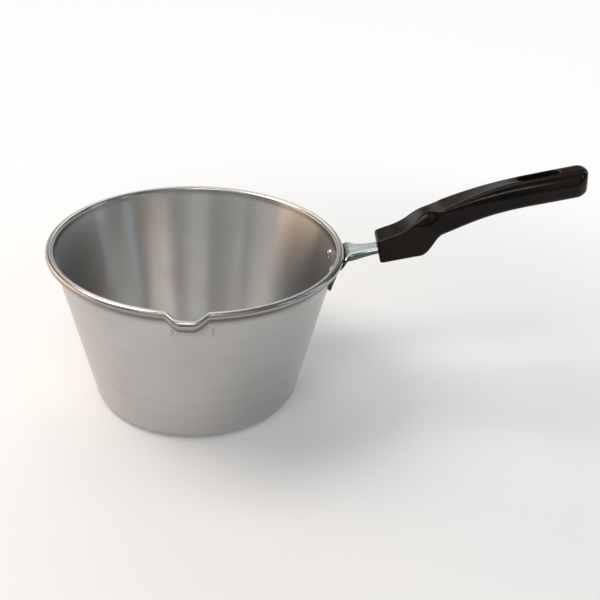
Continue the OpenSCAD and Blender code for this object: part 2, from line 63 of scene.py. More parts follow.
print("frame loaded with", len(frame["nodes"]), "nodes")


# small helpers

def linear(hexColour):
    # sRGB hex to the linear values that the shaders take
    parts = [int(hexColour[i:i + 2], 16) / 255 for i in (1, 3, 5)]
    return tuple(c / 12.92 if c <= 0.04045 else ((c + 0.055) / 1.055) ** 2.4 for c in parts) + (1.0,)


def addNode(tree, kind, inputs=(), operation=None, **settings):
    # one node with its settings; inputs are in order or by key, and each is a value, a socket, or a node
    # whose first live output is linked
    node = tree.nodes.new(kind)
    if operation:
        node.operation = operation
    for name, value in settings.items():
        setattr(node, name, value)
    for key, value in inputs.items() if isinstance(inputs, dict) else enumerate(inputs):
        if isinstance(value, bpy.types.Node):
            value = next(s for s in value.outputs if s.enabled)
        if isinstance(value, bpy.types.NodeSocket):
            tree.links.new(value, node.inputs[key])
        else:
            node.inputs[key].default_value = value
    return node


def newMaterial(name):
    # an empty material, addNode for its tree, and the place on a piece that its patterns follow
    material = bpy.data.materials.new(name)
    material.use_nodes = True
    material.node_tree.nodes.clear()
    add = partial(addNode, material.node_tree)
    return material, add, add("ShaderNodeTexCoord").outputs["Object"]


def newTree(name, labels):
    # a geometry tree, addNode for it, and its inputs: numbers, apart from those named here
    kinds = {"Geometry": "NodeSocketGeometry", "Sections": "NodeSocketInt", "Material": "NodeSocketMaterial"}
    tree = bpy.data.node_groups.new(name, "GeometryNodeTree")
    for label in labels:
        tree.interface.new_socket(label, in_out="INPUT", socket_type=kinds.get(label, "NodeSocketFloat"))
    tree.interface.new_socket("Geometry", in_out="OUTPUT", socket_type="NodeSocketGeometry")
    return tree, partial(addNode, tree), addNode(tree, "NodeGroupInput").outputs


def endTree(add, geometry, material):
    real = add("GeometryNodeRealizeInstances", [geometry])
    dressed = add("GeometryNodeSetMaterial", {"Geometry": real, "Material": material})
    add("NodeGroupOutput", [dressed])


def mix(a, b, k):
    return a + (b - a) * k


def ease(k):
    k = max(0.0, min(1.0, k))
    return k * k * (3 - 2 * k)


def polar(radius, degrees):
    turn = math.radians(degrees)
    return Vector((radius * math.cos(turn), radius * math.sin(turn)))


def steps(count):
    # shares from 0 to 1
    return [i / count for i in range(count + 1)]


def lineFrom(name, points):
    # an open line in the XZ plane, to be turned
    mesh = bpy.data.meshes.new(name)
    edges = [(i, i + 1) for i in range(len(points) - 1)]
    mesh.from_pydata([(x * mm, 0, z * mm) for x, z in points], edges, [])
    return mesh


def meshFrom(name, points, faces):
    # a closed shell with its faces outward
    mesh = bpy.data.meshes.new(name)
    mesh.from_pydata([Vector(p) * mm for p in points], [], faces)
    mesh.update()
    pointOut(mesh)
    return mesh


def pointOut(mesh):
    work = bmesh.new()
    work.from_mesh(mesh)
    bmesh.ops.recalc_face_normals(work, faces=work.faces)
    if work.calc_volume(signed=True) < 0:
        bmesh.ops.reverse_faces(work, faces=work.faces)
    work.to_mesh(mesh)
    work.free()


def skin(rings):
    # points and side faces of rings of equal length, each joined to the next
    count = len(rings[0])
    points = [p for ring in rings for p in ring]
    faces = []
    for i in range(len(rings) - 1):
        for j in range(count):
            a = i * count + j
            b = i * count + (j + 1) % count
            faces.append((a, b, b + count, a + count))
    return points, faces


def loft(rings):
    # a closed skin over rings that each run out along one face and back along the other
    points, faces = skin(rings)
    count = len(rings[0])
    for start in (0, len(points) - count):
        for i in range(count // 2 - 1):
            faces.append((start + i, start + i + 1, start + count - 2 - i, start + count - 1 - i))
    return points, faces


def prism(rings):
    # a closed skin over rings of which the first and the last are flat outlines
    points, faces = skin(rings)
    order = tuple(range(len(points)))
    count = len(rings[0])
    return points, [order[:count][::-1], order[-count:]] + faces


def addObject(name, data):
    thing = bpy.data.objects.new(name, data)
    scene.collection.objects.link(thing)
    return thing


def addPiece(name, mesh, sharp, material, node):
    # a finished piece at the origin, riding on the one body in place of its node
    mesh.shade_smooth()
    mesh.set_sharp_from_angle(angle=math.radians(sharp))
    mesh.materials.clear()
    mesh.materials.append(material)
    piece = addObject(name, mesh)
    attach(piece, "root")
    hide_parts(node)
    print(name, "has", len(mesh.polygons), "faces")


def bake(name, source, tree, values):
    # runs a geometry tree on a source mesh and keeps the result as a plain mesh
    carrier = addObject(name + "_carrier", source)
    modifier = carrier.modifiers.new("build", "NODES")
    modifier.node_group = tree
    sockets = {s.name: s.identifier for s in tree.interface.items_tree if s.item_type == "SOCKET"}
    for label, value in values.items():
        modifier[sockets[label]] = value
    graph = bpy.context.evaluated_depsgraph_get()
    mesh = bpy.data.meshes.new_from_object(carrier.evaluated_get(graph))
    mesh.name = name
    carrier.modifiers.remove(modifier)
    bpy.data.objects.remove(carrier)
    pointOut(mesh)
    return mesh


# camera, from the photograph's vanishing lines and the pan's two circles

view = dict(
    place=(37.85, -472.48, 328.98),  # mm
    aim=(64.99, 0, 63.45),           # mm, what the middle of the picture shows
    roll=3.79,                       # degrees
    lens=51.06,                      # mm
    sensor=36,                       # mm
    clipStart=0.01,                  # m
)


def addCamera():
    data = bpy.data.cameras.new("camera")
    data.lens = view["lens"]
    data.sensor_width = view["sensor"]
    data.clip_start = view["clipStart"]
    camera = addObject("camera", data)
    place = Vector(view["place"]) * mm
    look = (Vector(view["aim"]) * mm - place).to_track_quat("-Z", "Y")
    turn = look.to_matrix().to_4x4() @ Matrix.Rotation(math.radians(view["roll"]), 4, "Z")
    camera.matrix_world = Matrix.Translation(place) @ turn
    scene.camera = camera


addCamera()
print("camera set")


# materials

def spunAluminium():
    # soft aluminium sheet, spun over a former: satin, with fine rings left by the tool, so that
    # lights draw out into upright bands; the base is scoured dull, the roll is burnished grey with
    # painted shade and a painted dark reflection on its lower face and a painted shadow on the wall below it,
    # the inside is painted lighter as painted light against its shade, handling leaves faint warm patches,
    # and two tan painted reflections run down below the lip
    ringSpacing = 0.9          # mm, drawn coarser than the tool marks so that they show
    ringLength = 125.0         # mm, over which a ring changes
    bandSpacing = 7.0          # mm
    patchSize = 40.0           # mm
    # two tan painted reflections below the kinks of the lip
    reflectionWidth = 2.4            # mm
    reflectionsAt = (-6.9, 14.8)     # mm towards the handle
    reflectionsFrom = (82.5, 88.5)   # mm above the base
    reflectionsEnd = 90.5            # mm
    reflectionStrength = 0.5
    scouredTo = (1.5, 9.0)     # mm, height over which the scoured base passes into the spun wall
    wallRoughness = (0.28, 0.32)
    baseRoughness = 0.5
    rollRoughness = 0.25
    rollGrain = 0.3            # of the drawn-out lights that burnishing leaves
    material, add, place = newMaterial("spun aluminium")
    parts = add("ShaderNodeSeparateXYZ", [place]).outputs
    flat = add("ShaderNodeCombineXYZ", [parts[0], parts[1]])
    radius = add("ShaderNodeVectorMath", [flat], "LENGTH")
    along = add("ShaderNodeMath", [radius, parts[2]])
    unrolled = add("ShaderNodeCombineXYZ", [parts[0], parts[1], along])
    drift = 1 / (ringLength * mm)
    ringPlace = add("ShaderNodeVectorMath", [
        unrolled, (drift, drift, 1 / (ringSpacing * mm))], "MULTIPLY")
    rings = add("ShaderNodeTexNoise", {"Vector": ringPlace, "Scale": 1.0, "Detail": 1.0})
    bands = add("ShaderNodeTexNoise", {
        "W": along, "Scale": 1 / (bandSpacing * mm), "Detail": 2.0}, noise_dimensions="1D")
    patches = add("ShaderNodeTexNoise", {
        "Vector": place, "Scale": 1 / (patchSize * mm), "Detail": 4.0, "Roughness": 0.6})
    tone = add("ShaderNodeMath", [rings, bands])
    toneShare = add("ShaderNodeMapRange", [tone, 0.6, 1.4])
    # painted light: the face that looks into the pan is painted lighter, against the shade inside it
    paintedLightInside = add("ShaderNodeAttribute", attribute_name="inside").outputs["Fac"]
    handled = add("ShaderNodeMapRange", {0: patches, 1: 0.5, 2: 0.75, 4: 0.35})
    roll = add("ShaderNodeAttribute", attribute_name="roll").outputs["Fac"]
    # painted shade and a painted dark reflection on the roll's lower face, with a painted shadow line on the
    # wall below it
    paintedRollShade = add("ShaderNodeAttribute", attribute_name="under_roll").outputs["Fac"]
    # painted reflections: two tan streaks running down below the kinks of the lip
    paintedReflections = 0.0
    for at in reflectionsAt:
        beside = add("ShaderNodeMath", [parts[0], at * mm], "SUBTRACT")
        aside = add("ShaderNodeMath", [beside], "ABSOLUTE")
        creaseReflection = add("ShaderNodeMapRange", [
            aside, reflectionWidth / 2 * mm, reflectionWidth / 6 * mm], interpolation_type="SMOOTHSTEP")
        paintedReflections = add("ShaderNodeMath", [paintedReflections, creaseReflection], "MAXIMUM")
    reflectionRun = add("ShaderNodeMapRange", {
        0: parts[2], 1: reflectionsFrom[0] * mm, 2: reflectionsFrom[1] * mm, 4: reflectionStrength},
        interpolation_type="SMOOTHSTEP")
    front = add("ShaderNodeMath", [parts[1], 0.0], "LESS_THAN")
    below = add("ShaderNodeMath", [parts[2], reflectionsEnd * mm], "LESS_THAN")
    for share in (reflectionRun, front, below):
        paintedReflections = add("ShaderNodeMath", [paintedReflections, share], "MULTIPLY")
    # one colour over another: bands in the sheet, the inside painted lighter against its shade, handled, the
    # roll, its painted shade and painted dark reflection with the painted shadow below it, two painted
    # reflections
    colour = linear("#BEBDBB")
    for share, over in ((toneShare, "#C4C3C1"), (paintedLightInside, "#D0CFCD"), (handled, "#BAB0A5"),
                        (roll, "#B2AFAC"), (paintedRollShade, "#6F655B"), (paintedReflections, "#96796C")):
        colour = add("ShaderNodeMix", {"Factor": share, "A": colour, "B": linear(over)}, data_type="RGBA")
    satin = add("ShaderNodeMapRange", [patches, 0.3, 0.7, *wallRoughness])
    scoured = add("ShaderNodeMapRange", [parts[2], scouredTo[1] * mm, scouredTo[0] * mm])
    sheet = add("ShaderNodeMapRange", {0: scoured, 3: satin, 4: baseRoughness})
    roughness = add("ShaderNodeMapRange", {0: roll, 3: sheet, 4: rollRoughness})
    spun = add("ShaderNodeMapRange", {0: scoured, 3: 1.0, 4: 0.0})
    grain = add("ShaderNodeMapRange", {0: roll, 3: spun, 4: rollGrain})
    bump = add("ShaderNodeBump", {"Height": rings, "Strength": 0.08, "Distance": 0.02 * mm})
    tangent = add("ShaderNodeTangent", direction_type="RADIAL", axis="Z")
    metal = add("ShaderNodeBsdfPrincipled", {
        "Base Color": colour, "Metallic": 1.0, "Roughness": roughness, "Anisotropic": grain,
        "Anisotropic Rotation": 0.25, "Tangent": tangent, "Normal": bump})
    add("ShaderNodeOutputMaterial", {"Surface": metal})
    return material


def platedSteel():
    # pressed mild steel with a thin bright plating: cooler and greener than the pan, with faint
    # draw marks along the pressing, and painted shade in grey on the folded sides and where it lies on the
    # wall
    markSpacing = 0.8   # mm
    freckle = 2.2       # mm
    markDrift = 60.0    # per m, how fast a mark changes along its length
    material, add, place = newMaterial("plated pressed steel")
    drawn = add("ShaderNodeMapping", {
        "Vector": place, "Scale": (markDrift, 1 / (markSpacing * mm), markDrift)})
    marks = add("ShaderNodeTexNoise", {"Vector": drawn, "Scale": 1.0, "Detail": 2.0})
    freckles = add("ShaderNodeTexNoise", {
        "Vector": place, "Scale": 1 / (freckle * mm), "Detail": 3.0, "Roughness": 0.65})
    wear = add("ShaderNodeMath", [freckles, 0.4, marks], "MULTIPLY_ADD")
    wearShare = add("ShaderNodeMapRange", [wear, 0.5, 0.9])
    bright = add("ShaderNodeMix", {
        "Factor": wearShare, "A": linear("#A4ACA8"), "B": linear("#BCC3C0")}, data_type="RGBA")
    # painted shade: grey on the folded sides and on the sheet where it lies on the wall under the roll
    foldShade = add("ShaderNodeAttribute", attribute_name="foldShade").outputs["Fac"]
    colour = add("ShaderNodeMix", {"Factor": foldShade, "A": bright, "B": linear("#5A5F5C")}, data_type="RGBA")
    roughness = add("ShaderNodeMapRange", [wear, 0.4, 1.0, 0.18, 0.26])
    bump = add("ShaderNodeBump", {"Height": marks, "Strength": 0.05, "Distance": 0.03 * mm})
    metal = add("ShaderNodeBsdfPrincipled", {
        "Base Color": colour, "Metallic": 1.0, "Roughness": roughness, "Normal": bump})
    add("ShaderNodeOutputMaterial", {"Surface": metal})
    return material


def headedAluminium():
    # cold-headed rivet wire: brighter than the sheet, with small dents from the setting tool
    dent = 1.6  # mm
    material, add, place = newMaterial("headed aluminium")
    dents = add("ShaderNodeTexNoise", {"Vector": place, "Scale": 1 / (dent * mm), "Detail": 2.0})
    colour = add("ShaderNodeMix", {
        "Factor": dents, "A": linear("#A29E98"), "B": linear("#BAB7B1")}, data_type="RGBA")
    roughness = add("ShaderNodeMapRange", [dents, 0.3, 0.7, 0.14, 0.26])
    bump = add("ShaderNodeBump", {"Height": dents, "Strength": 0.3, "Distance": 0.08 * mm})
    metal = add("ShaderNodeBsdfPrincipled", {
        "Base Color": colour, "Metallic": 1.0, "Roughness": roughness, "Normal": bump})
    add("ShaderNodeOutputMaterial", {"Surface": metal})
    return material


def phenolicResin():
    # compression-moulded phenolic: near black with brown clouds where the resin flowed, a polished
    # skin with a slight orange peel, and fine rub marks that dull it here and there
    cloudSize = 26.0  # mm
    peelSize = 1.4    # mm
    rubSize = 5.0     # mm
    material, add, place = newMaterial("moulded phenolic")
    flow = add("ShaderNodeMapping", {"Vector": place, "Scale": (0.5, 1.0, 1.0)})
    clouds = add("ShaderNodeTexNoise", {
        "Vector": flow, "Scale": 1 / (cloudSize * mm), "Detail": 4.0, "Distortion": 0.6})
    peel = add("ShaderNodeTexNoise", {"Vector": place, "Scale": 1 / (peelSize * mm), "Detail": 1.0})
    rubs = add("ShaderNodeTexNoise", {
        "Vector": flow, "Scale": 1 / (rubSize * mm), "Detail": 5.0, "Roughness": 0.7})
    cloudShare = add("ShaderNodeMapRange", [clouds, 0.38, 0.66])
    colour = add("ShaderNodeMix", {
        "Factor": cloudShare, "A": linear("#0D0C0B"), "B": linear("#201610")}, data_type="RGBA")
    roughness = add("ShaderNodeMapRange", [rubs, 0.3, 0.7, 0.11, 0.22])
    bump = add("ShaderNodeBump", {"Height": peel, "Strength": 0.12, "Distance": 0.05 * mm})
    resin = add("ShaderNodeBsdfPrincipled", {
        "Base Color": colour, "Roughness": roughness, "IOR": 1.5, "Specular IOR Level": 0.13, "Normal": bump})
    add("ShaderNodeOutputMaterial", {"Surface": resin})
    return material


def zincSteel():
    # zinc-plated screw steel: pale, slightly warm, with a fine crystal mottle
    crystal = 0.6  # mm
    material, add, place = newMaterial("zinc plated steel")
    crystals = add("ShaderNodeTexVoronoi", {"Vector": place, "Scale": 1 / (crystal * mm)}).outputs["Distance"]
    colour = add("ShaderNodeMix", {
        "Factor": crystals, "A": linear("#C2BEB2"), "B": linear("#A39F95")}, data_type="RGBA")
    roughness = add("ShaderNodeMapRange", {0: crystals, 3: 0.24, 4: 0.42})
    metal = add("ShaderNodeBsdfPrincipled", {"Base Color": colour, "Metallic": 1.0, "Roughness": roughness})
    add("ShaderNodeOutputMaterial", {"Surface": metal})
    return material


sheetMetal = spunAluminium()
bracketMetal = platedSteel()
rivetMetal = headedAluminium()
handleResin = phenolicResin()
screwMetal = zincSteel()
print("materials made")


# pan: one spun sheet, turned round the axis and then pressed out at the lip

panLow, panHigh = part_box("pan_body")
pan = dict(
    rimR=panHigh.x / mm,
    height=panHigh.z / mm,
    baseR=64.8,             # where the wall's cone meets the base plane
    cornerR=8,
    sheet=1.2,
    bead=5,                 # rolled rim, across
    curlGap=0.5,            # between the end of the roll and the wall
    wallEnd=0.3,            # from the last cut of the wall to the roll
    cuts=(12, 14, 44, 36),  # along the base, corner, wall and roll
    turns=360,              # sections round the axis
    focus=0.72,             # how much closer they lie across the lip
    lipDirection=-89,       # degrees from the handle
    lipWidth=24.5,
    lipOut=-panLow.y / mm - panHigh.x / mm,
    lipDrop=2.4,
    lipDepth=13,            # height of wall that is pressed out
    lipTrough=0.22,         # share of the width that is flat
    lipEase=0.75,
    lipFlatten=0.3,         # how much taller the roll is in the trough
    rollMargin=0.1,         # round the roll, to tell it from the wall
    shadeTurn=(38, -38),  # degrees round the roll's section over which painted shade and a painted dark reflection grow in
    shadowFrom=4.2,          # painted shadow line on the wall, below the middle of the roll
    shadowHeight=3.8,
    shadowShare=0.9,         # of the painted shade colour
    lookDown=30,            # tells the base's faces apart: larger favours up and down over in and out
    sharp=60,               # degrees, an edge that stays crisp
)


# wall line tangent to the roll, and where the corner and the roll have their middles
panHalf = pan["sheet"] / 2
rollR = pan["bead"] / 2 - panHalf
rollMid = Vector((pan["rimR"] - pan["bead"] / 2, pan["height"] - pan["bead"] / 2))
rollTurn = 360 - math.degrees(math.acos((rollR - panHalf - pan["curlGap"]) / (rollR + panHalf)))
panFoot = Vector((pan["baseR"], 0))
wallRun = rollMid - panFoot
wallLean = math.atan2(wallRun.x, wallRun.y) - math.asin((rollR - panHalf) / wallRun.length)
wallTilt = math.degrees(wallLean)
wallUp = Vector((math.sin(wallLean), math.cos(wallLean)))
wallOut = Vector((wallUp.y, -wallUp.x))
cornerIn = pan["cornerR"] * (1 - math.sin(wallLean)) / math.cos(wallLean)
cornerMid = Vector((pan["baseR"] - cornerIn, pan["cornerR"]))
lipTop = pan["height"] - pan["bead"]


def panFace(offset):
    # one face of the sheet from the axis to the end of the roll
    baseCuts, cornerCuts, wallCuts, rollCuts = pan["cuts"]
    base = [Vector((cornerMid.x * k, panHalf - offset)) for k in steps(baseCuts)[:-1]]
    cornerR = pan["cornerR"] - panHalf + offset
    corner = [cornerMid + polar(cornerR, mix(-90, -wallTilt, k)) for k in steps(cornerCuts)]
    out = (offset - panHalf) / math.cos(wallLean)
    wall = []
    for k in steps(wallCuts)[1:]:
        z = mix(corner[-1].y, lipTop - pan["wallEnd"], k)
        wall.append(Vector((pan["baseR"] + out + z * math.tan(wallLean), z)))
    roll = [rollMid + polar(rollR - offset, 180 - wallTilt - rollTurn * k) for k in steps(rollCuts)]
    return base + corner + wall + roll


def turningTree():
    # turns a profile round the Z axis; Focus draws the sections together at Facing
    mergeWithin = 0.002  # mm
    tree, add, given = newTree("turn a profile", ("Geometry", "Sections", "Facing", "Focus"))
    size = add("GeometryNodeAttributeDomainSize", [given["Geometry"]])
    columns = add("ShaderNodeMath", [given["Sections"], 1.0])
    grid = add("GeometryNodeMeshGrid", {"Vertices X": size.outputs["Point Count"], "Vertices Y": columns})
    index = add("GeometryNodeInputIndex")
    rowShare = add("ShaderNodeMath", [index, columns], "DIVIDE")
    row = add("ShaderNodeMath", [rowShare], "FLOOR")
    column = add("ShaderNodeMath", [index, columns], "MODULO")
    position = add("GeometryNodeInputPosition")
    sample = add("GeometryNodeSampleIndex", {
        "Geometry": given["Geometry"], "Value": position, "Index": row}, data_type="FLOAT_VECTOR")
    share = add("ShaderNodeMath", [column, given["Sections"]], "DIVIDE")
    turn = add("ShaderNodeMapRange", {0: share, 3: -math.pi, 4: math.pi})
    pull = add("ShaderNodeMath", [turn], "SINE")
    drawn = add("ShaderNodeMath", [pull, given["Focus"]], "MULTIPLY")
    gathered = add("ShaderNodeMath", [turn, drawn], "SUBTRACT")
    angle = add("ShaderNodeMath", [gathered, given["Facing"]])
    placed = add("ShaderNodeVectorRotate", {"Vector": sample, "Angle": angle}, rotation_type="Z_AXIS")
    moved = add("GeometryNodeSetPosition", {"Geometry": grid, "Position": placed})
    closed = add("GeometryNodeMergeByDistance", {"Geometry": moved, "Distance": mergeWithin * mm})
    add("NodeGroupOutput", [closed])
    return tree


turning = turningTree()


def panTree():
    tree, add, given = newTree("spin a pan and press its lip", (
        "Geometry", "Sections", "Focus", "Rim Height", "Lip Direction", "Lip Half Angle", "Lip Out",
        "Lip Drop", "Lip Depth", "Lip Top", "Lip Trough", "Lip Ease", "Lip Flatten", "Roll Radius",
        "Roll Height", "Material"))
    spun = add("GeometryNodeGroup", {
        "Geometry": given["Geometry"], "Sections": given["Sections"], "Facing": given["Lip Direction"],
        "Focus": given["Focus"]}, node_tree=turning)
    position = add("GeometryNodeInputPosition")
    point = add("ShaderNodeSeparateXYZ", [position]).outputs
    flat = add("ShaderNodeCombineXYZ", [point[0], point[1]])
    radius = add("ShaderNodeVectorMath", [flat], "LENGTH")
    # where the roll faces out and down, for its painted shade and painted dark reflection
    rollOut = add("ShaderNodeMath", [radius, given["Roll Radius"]], "SUBTRACT")
    rollUp = add("ShaderNodeMath", [point[2], given["Roll Height"]], "SUBTRACT")
    facing = add("ShaderNodeMath", [rollUp, rollOut], "ARCTAN2")
    shadeTurn = [math.radians(turn) for turn in pan["shadeTurn"]]
    lowFace = add("ShaderNodeMapRange", [facing, *shadeTurn], interpolation_type="SMOOTHSTEP")
    rollFace = add("ShaderNodeCombineXYZ", [rollOut, rollUp])
    fromMiddle = add("ShaderNodeVectorMath", [rollFace], "LENGTH")
    rollReach = (pan["bead"] / 2 + pan["rollMargin"]) * mm
    isRoll = add("ShaderNodeMath", [fromMiddle, rollReach], "LESS_THAN")
    shadeUnderRoll = add("ShaderNodeMath", [lowFace, isRoll], "MULTIPLY")
    # the face of the sheet that looks into the pan; the turned faces still point into the metal
    normal = add("GeometryNodeInputNormal")
    downOut = add("ShaderNodeCombineXYZ", [point[0], point[1], -pan["lookDown"] * mm])
    looking = add("ShaderNodeVectorMath", [normal, downOut], "DOT_PRODUCT")
    inward = add("ShaderNodeMath", [looking, 0.0], "GREATER_THAN")
    notRoll = add("ShaderNodeMath", [1.0, isRoll], "SUBTRACT")
    innerFace = add("ShaderNodeMath", [inward, notRoll], "MULTIPLY")
    # and the painted shadow line on the outer face, below the roll
    outerFace = add("ShaderNodeMath", [notRoll, innerFace], "SUBTRACT")
    paintedShadow = add("ShaderNodeMapRange", {
        0: rollUp, 1: -(pan["shadowFrom"] + pan["shadowHeight"]) * mm, 2: -pan["shadowFrom"] * mm,
        4: pan["shadowShare"]}, interpolation_type="SMOOTHSTEP")
    wallShadow = add("ShaderNodeMath", [paintedShadow, outerFace], "MULTIPLY")
    # painted shade on the roll and painted shadow on the wall below it, in one mask
    paintedRollShade = add("ShaderNodeMath", [shadeUnderRoll, wallShadow], "MAXIMUM")
    marked = spun
    for name, value in (("roll", isRoll), ("inside", innerFace), ("under_roll", paintedRollShade)):
        marked = add("GeometryNodeStoreNamedAttribute", {"Geometry": marked, "Name": name, "Value": value})
    # share of the pressing across the lip: 0 at the kinks and beyond, 1 in the trough
    angle = add("ShaderNodeMath", [point[1], point[0]], "ARCTAN2")
    away = add("ShaderNodeMath", [angle, given["Lip Direction"]], "SUBTRACT")
    wrapped = add("ShaderNodeMath", [away, math.pi, -math.pi], "WRAP")
    aside = add("ShaderNodeMath", [wrapped], "ABSOLUTE")
    slope = add("ShaderNodeMath", [aside, given["Lip Half Angle"]], "DIVIDE")
    within = add("ShaderNodeMath", [1.0, slope], "SUBTRACT")
    sides = add("ShaderNodeMath", [1.0, given["Lip Trough"]], "SUBTRACT")
    rise = add("ShaderNodeMath", [within, sides], "DIVIDE", use_clamp=True)
    eased = add("ShaderNodeMath", [rise, given["Lip Ease"]], "POWER")
    quarter = add("ShaderNodeMath", [eased, math.pi / 2], "MULTIPLY")
    wave = add("ShaderNodeMath", [quarter], "SINE")
    lip = add("ShaderNodeMath", [wave, 2.0], "POWER")
    # share of it that the wall takes at this height
    foot = add("ShaderNodeMath", [given["Lip Top"], given["Lip Depth"]], "SUBTRACT")
    depth = add("ShaderNodeMapRange", [
        point[2], foot, given["Lip Top"]], interpolation_type="SMOOTHSTEP")
    press = add("ShaderNodeMath", [lip, depth], "MULTIPLY")
    # the roll is drawn taller in the trough
    rollFoot = add("ShaderNodeMath", [given["Lip Top"], pan["rollMargin"] * mm], "SUBTRACT")
    onRoll = add("ShaderNodeMath", [point[2], rollFoot], "GREATER_THAN")
    taller = add("ShaderNodeMath", [given["Lip Flatten"], lip], "MULTIPLY")
    rollTaller = add("ShaderNodeMath", [taller, onRoll], "MULTIPLY")
    below = add("ShaderNodeMath", [given["Rim Height"], point[2]], "SUBTRACT")
    stretch = add("ShaderNodeMath", [below, rollTaller], "MULTIPLY")
    down = add("ShaderNodeMath", [press, given["Lip Drop"], stretch], "MULTIPLY_ADD")
    out = add("ShaderNodeMath", [press, given["Lip Out"]], "MULTIPLY")
    heading = add("ShaderNodeVectorMath", [flat], "NORMALIZE")
    outward = add("ShaderNodeVectorMath", {0: heading, "Scale": out}, "SCALE")
    downward = add("ShaderNodeVectorMath", {0: (0, 0, -1), "Scale": down}, "SCALE")
    shift = add("ShaderNodeVectorMath", [outward, downward])
    pressed = add("GeometryNodeSetPosition", {"Geometry": marked, "Offset": shift})
    endTree(add, pressed, given["Material"])
    return tree


panProfile = lineFrom("pan_profile", panFace(panHalf) + panFace(-panHalf)[::-1])
panMesh = bake("pan", panProfile, panTree(), {
    "Sections": pan["turns"], "Focus": pan["focus"], "Rim Height": pan["height"] * mm,
    "Lip Direction": math.radians(pan["lipDirection"]), "Lip Half Angle": pan["lipWidth"] / 2 / pan["rimR"],
    "Lip Out": pan["lipOut"] * mm, "Lip Drop": pan["lipDrop"] * mm, "Lip Depth": pan["lipDepth"] * mm,
    "Lip Top": lipTop * mm, "Lip Trough": pan["lipTrough"], "Lip Ease": pan["lipEase"],
    "Lip Flatten": pan["lipFlatten"], "Roll Radius": rollMid.x * mm, "Roll Height": rollMid.y * mm,
    "Material": sheetMetal})
addPiece("pan", panMesh, pan["sharp"], sheetMetal, "pan_body")


# bracket: one pressed sheet that lies on the wall, passes round the roll and runs into the handle

bracket = dict(
    sheet=1.5,
    plateWidth=40,
    plateHeight=18.5,
    plateCorner=7,
    plateStart=0.05,       # first cut up the rounded foot of the plate
    fold=1.4,              # depth of the folded edges at the handle
    foldRoot=2.3,          # at the foot of the shank
    foldHook=0.5,          # beside the rim
    foldFoot=0.4,          # at the foot of the plate
    foldR=2.1,
    foldSide=0.05,         # straight side below a fold, at least
    foldClear=0.2,         # between the folds inside the bend
    shankWidth=12.6,
    rootWidth=34,          # at the bend against the wall
    hookWidth=27,          # beside the rim
    hookEase=1.6,          # how early the root narrows to it
    shoulder=5,            # height over which the plate widens below its bend
    flareR=26,
    neck=3,                # straight-sided shank in front of the handle
    rootSlope=15,          # degrees
    hookSlope=66,
    footSlope=3,           # where the shank leaves the rim
    shankSlope=14.5,
    hookCurve=0.8,         # share of the pan's curve that the sheet keeps beside the rim
    footCurve=0.5,         # and where the shank leaves the rim
    frontGap=20.2,         # from the rim to the handle
    frontUp=3.7,           # of the shank at the handle, above the middle of the roll
    tang=23,               # inside the handle
    bendR=2.2,
    kinkR=3.6,
    rimGap=0.5,
    seatGap=0.15,
    shadeFrom=0.6,          # painted shade on the folds, below the top of the sheet
    shadeDepth=1.0,
    shadeCurve=(0.7, 0.9),  # share of the pan's curve over which the painted shade spreads to the whole sheet
    cuts=(14, 14, 12, 16, 28, 4),  # along the plate, bend, hook, kink, shank and tang
    sectionCuts=(8, 16),   # round a fold and across the flat
    sharp=40,              # degrees
)


# foot of the sheet's middle line on the wall, its radius round the roll, and how far up the wall it bends
plateFoot = panFoot + wallOut * (bracket["seatGap"] + bracket["sheet"] / 2)
hookR = pan["bead"] / 2 + bracket["rimGap"] + bracket["sheet"] / 2
rootUp = polar(1, bracket["rootSlope"] + 90)
bendAt = (-hookR - (plateFoot - rollMid).dot(rootUp)) / wallUp.dot(rootUp)


